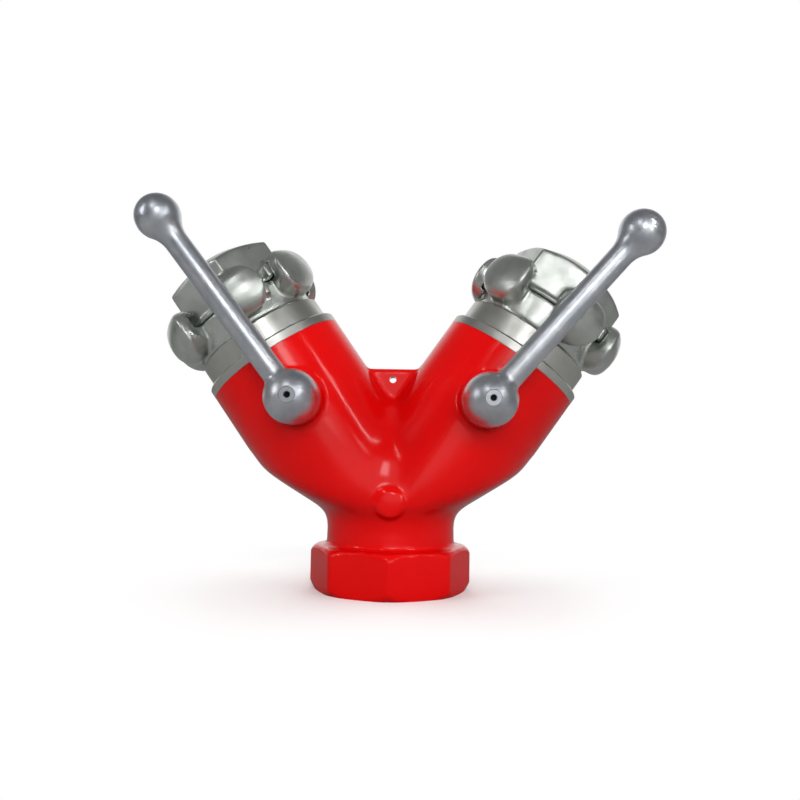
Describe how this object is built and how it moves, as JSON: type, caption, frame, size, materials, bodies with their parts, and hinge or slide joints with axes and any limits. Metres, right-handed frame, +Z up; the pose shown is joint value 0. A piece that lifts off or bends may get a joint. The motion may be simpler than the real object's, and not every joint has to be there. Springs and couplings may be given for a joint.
{
  "type": "fire hose dividing breeching",
  "caption": "Forked fire-hose manifold: a threaded inlet splits to lever-operated ball valves, each with a claw hose coupling and twist-on blank cap.",
  "frame": {"origin": "centre of the inlet collar's open face", "axes": "+Z up along the inlet thread, away from the supply; +X towards the right-hand branch; the levers are on the -Y side"},
  "size_m": [0.273, 0.1239, 0.2091],
  "materials": {
    "red_enamel": "gloss",
    "cast_aluminium": "satin",
    "forged_aluminium": "satin",
    "polished_lever": "polished",
    "black_screw": "matte",
    "valve_chrome": "polished",
    "stem_steel": "satin",
    "gland_brass": "satin",
    "white_ptfe": "matte",
    "black_rubber": "matte"
  },
  "bodies": {
    "breeching": {"body": "red_enamel", "left_end_adapter": "cast_aluminium", "left_adapter_seal": "black_rubber", "left_inner_seat": "white_ptfe", "left_outer_seat": "white_ptfe", "left_thrust_washer": "white_ptfe", "left_gland": "gland_brass", "left_stop_pin": "stem_steel", "left_claw_coupling": "forged_aluminium", "left_coupling_gasket": "black_rubber", "right_end_adapter": "cast_aluminium", "right_adapter_seal": "black_rubber", "right_inner_seat": "white_ptfe", "right_outer_seat": "white_ptfe", "right_thrust_washer": "white_ptfe", "right_gland": "gland_brass", "right_stop_pin": "stem_steel", "right_claw_coupling": "forged_aluminium", "right_coupling_gasket": "black_rubber"},
    "left_valve": {"left_ball": "valve_chrome", "left_stem": "stem_steel", "left_stem_seals": "black_rubber", "left_lever": "polished_lever", "left_lever_screw": "black_screw"},
    "right_valve": {"right_ball": "valve_chrome", "right_stem": "stem_steel", "right_stem_seals": "black_rubber", "right_lever": "polished_lever", "right_lever_screw": "black_screw"},
    "left_cap": {"left_cap": "forged_aluminium", "left_cap_gasket": "black_rubber"},
    "right_cap": {"right_cap": "forged_aluminium", "right_cap_gasket": "black_rubber"}
  },
  "joints": [
    {"name": "left_lever_turn", "type": "hinge", "parent": "breeching", "child": "left_valve", "pos_m": [-0.05122, 0, 0.10615], "axis": [0, -1, 0], "range_deg": [-2.5, 87.5]},
    {"name": "right_lever_turn", "type": "hinge", "parent": "breeching", "child": "right_valve", "pos_m": [0.05122, 0, 0.10615], "axis": [0, 1, 0], "range_deg": [-6.3, 83.7]},
    {"name": "left_cap_twist", "type": "hinge", "parent": "breeching", "child": "left_cap", "pos_m": [-0.0889, 0, 0.15997], "axis": [0.5736, 0, -0.8192], "range_deg": [0, 25]},
    {"name": "right_cap_twist", "type": "hinge", "parent": "breeching", "child": "right_cap", "pos_m": [0.0889, 0, 0.15997], "axis": [-0.5736, 0, -0.8192], "range_deg": [0, 25]}
  ]
}
